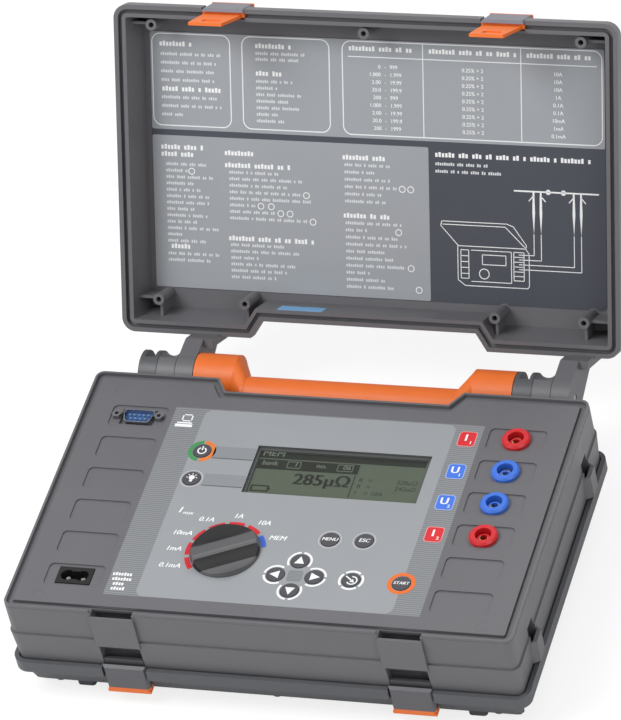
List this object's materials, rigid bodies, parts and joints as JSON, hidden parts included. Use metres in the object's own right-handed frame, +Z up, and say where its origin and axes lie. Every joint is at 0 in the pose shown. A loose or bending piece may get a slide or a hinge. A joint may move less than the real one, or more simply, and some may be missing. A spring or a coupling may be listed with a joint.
{
  "type": "micro ohmmeter",
  "caption": "Portable micro ohmmeter in a grey carrying case with hinged lids, orange handle and latches, display, keys, rotary range switch and test jacks.",
  "frame": {"origin": "on the table under the middle of the closed case", "axes": "+X to the right along the panel, +Y back to the hinges, +Z up"},
  "size_m": [0.297, 0.3493, 0.2281],
  "materials": {
    "shell": "moulded, fine grain",
    "overlay": "printed film, satin",
    "window": "clear, over a grey-green display",
    "lcd": "moulded frame",
    "board": "solder-masked laminate",
    "black_plastic": "moulded, fine grain",
    "key_grey": "printed film, satin",
    "steel": "plain",
    "cells": "shrink sleeve",
    "red": "moulded",
    "blue": "moulded",
    "gold": "plated",
    "db9_blue": "moulded",
    "label": "printed card",
    "orange": "moulded, fine grain",
    "face_grey": "moulded, fine grain"
  },
  "bodies": {
    "case": {"body_case": "shell", "keeper_housings": "shell", "strap_loops": "shell", "control_panel": "shell", "screw_plugs": "shell", "battery_cover": "shell", "panel_overlay": "overlay", "display_window": "window", "lcd_module": "lcd", "main_board": "board", "key_switches": "black_plastic", "mains_inlet": "black_plastic", "rotary_switch": "black_plastic", "panel_screws": "steel", "cover_screws": "steel", "jack_nuts": "steel", "db9_shell": "steel", "db9_jackscrews": "steel", "inlet_pins": "steel", "hinge_pin_left": "steel", "hinge_pin_right": "steel", "battery_pack": "cells", "jack_c1": "red", "jack_c2": "red", "jack_p1": "blue", "jack_p2": "blue", "jack_contacts": "gold", "db9_pins": "gold", "db9_insert": "db9_blue"},
    "upper_lid_body": {"upper_lid": "shell", "lid_label": "label"},
    "lower_lid_body": {"lower_lid": "shell"},
    "handle_body": {"handle": "orange"},
    "knob_body": {"rotary_knob": "black_plastic", "knob_shaft": "steel"},
    "key_power_body": {"key_power": "key_grey"},
    "key_light_body": {"key_light": "key_grey"},
    "key_menu_body": {"key_menu": "key_grey"},
    "key_escape_body": {"key_escape": "key_grey"},
    "key_enter_body": {"key_enter": "key_grey"},
    "key_start_body": {"key_start": "key_grey"},
    "key_up_body": {"key_up": "key_grey"},
    "key_down_body": {"key_down": "key_grey"},
    "key_left_body": {"key_left": "key_grey"},
    "key_right_body": {"key_right": "key_grey"},
    "latch_upper_left_body": {"latch_lever_upper_left": "orange", "latch_face_upper_left": "face_grey", "latch_pin_upper_left": "steel"},
    "latch_upper_right_body": {"latch_lever_upper_right": "orange", "latch_face_upper_right": "face_grey", "latch_pin_upper_right": "steel"},
    "latch_lower_left_body": {"latch_lever_lower_left": "orange", "latch_face_lower_left": "face_grey", "latch_pin_lower_left": "steel"},
    "latch_lower_right_body": {"latch_lever_lower_right": "orange", "latch_face_lower_right": "face_grey", "latch_pin_lower_right": "steel"}
  },
  "joints": [
    {"name": "lid_hinge", "type": "hinge", "parent": "case", "child": "upper_lid_body", "pos_m": [0, 0.1137, 0.0475], "axis": [1, 0, 0], "range_deg": [0, 120.4]},
    {"name": "tray_hinge", "type": "hinge", "parent": "case", "child": "lower_lid_body", "pos_m": [0, 0.1137, 0.0475], "axis": [1, 0, 0], "range_deg": [0, 90]},
    {"name": "handle_hinge", "type": "hinge", "parent": "case", "child": "handle_body", "pos_m": [0, 0.1137, 0.0475], "axis": [-1, 0, 0], "range_deg": [0, 180]},
    {"name": "knob_turn", "type": "hinge", "parent": "case", "child": "knob_body", "pos_m": [-0.0304, -0.0406, 0.0693], "axis": [0, 0, 1], "range_deg": [0, 180]},
    {"name": "key_power_press", "type": "slide", "parent": "case", "child": "key_power_body", "axis": [0, 0, -1], "range_m": [0, 0.0005], "stiffness_N_per_m": 400, "springref_m": -0.001},
    {"name": "key_light_press", "type": "slide", "parent": "case", "child": "key_light_body", "axis": [0, 0, -1], "range_m": [0, 0.0005], "stiffness_N_per_m": 400, "springref_m": -0.001},
    {"name": "key_menu_press", "type": "slide", "parent": "case", "child": "key_menu_body", "axis": [0, 0, -1], "range_m": [0, 0.0005], "stiffness_N_per_m": 400, "springref_m": -0.001},
    {"name": "key_escape_press", "type": "slide", "parent": "case", "child": "key_escape_body", "axis": [0, 0, -1], "range_m": [0, 0.0005], "stiffness_N_per_m": 400, "springref_m": -0.001},
    {"name": "key_enter_press", "type": "slide", "parent": "case", "child": "key_enter_body", "axis": [0, 0, -1], "range_m": [0, 0.0005], "stiffness_N_per_m": 400, "springref_m": -0.001},
    {"name": "key_start_press", "type": "slide", "parent": "case", "child": "key_start_body", "axis": [0, 0, -1], "range_m": [0, 0.0005], "stiffness_N_per_m": 400, "springref_m": -0.001},
    {"name": "key_up_press", "type": "slide", "parent": "case", "child": "key_up_body", "axis": [0, 0, -1], "range_m": [0, 0.0005], "stiffness_N_per_m": 400, "springref_m": -0.001},
    {"name": "key_down_press", "type": "slide", "parent": "case", "child": "key_down_body", "axis": [0, 0, -1], "range_m": [0, 0.0005], "stiffness_N_per_m": 400, "springref_m": -0.001},
    {"name": "key_left_press", "type": "slide", "parent": "case", "child": "key_left_body", "axis": [0, 0, -1], "range_m": [0, 0.0005], "stiffness_N_per_m": 400, "springref_m": -0.001},
    {"name": "key_right_press", "type": "slide", "parent": "case", "child": "key_right_body", "axis": [0, 0, -1], "range_m": [0, 0.0005], "stiffness_N_per_m": 400, "springref_m": -0.001},
    {"name": "latch_upper_left_hinge", "type": "hinge", "parent": "upper_lid_body", "child": "latch_upper_left_body", "pos_m": [-0.08175, 0.23888, 0.21185], "axis": [1, 0, 0], "range_deg": [0, 6], "stiffness_Nm_per_rad": 0.3, "springref_deg": -2.86},
    {"name": "latch_lower_left_hinge", "type": "hinge", "parent": "lower_lid_body", "child": "latch_lower_left_body", "pos_m": [-0.08175, -0.0914, 0.0227], "axis": [-1, 0, 0], "range_deg": [0, 6], "stiffness_Nm_per_rad": 0.3, "springref_deg": -2.86},
    {"name": "latch_upper_right_hinge", "type": "hinge", "parent": "upper_lid_body", "child": "latch_upper_right_body", "pos_m": [0.08175, 0.23888, 0.21185], "axis": [1, 0, 0], "range_deg": [0, 6], "stiffness_Nm_per_rad": 0.3, "springref_deg": -2.86},
    {"name": "latch_lower_right_hinge", "type": "hinge", "parent": "lower_lid_body", "child": "latch_lower_right_body", "pos_m": [0.08175, -0.0914, 0.0227], "axis": [-1, 0, 0], "range_deg": [0, 6], "stiffness_Nm_per_rad": 0.3, "springref_deg": -2.86}
  ]
}
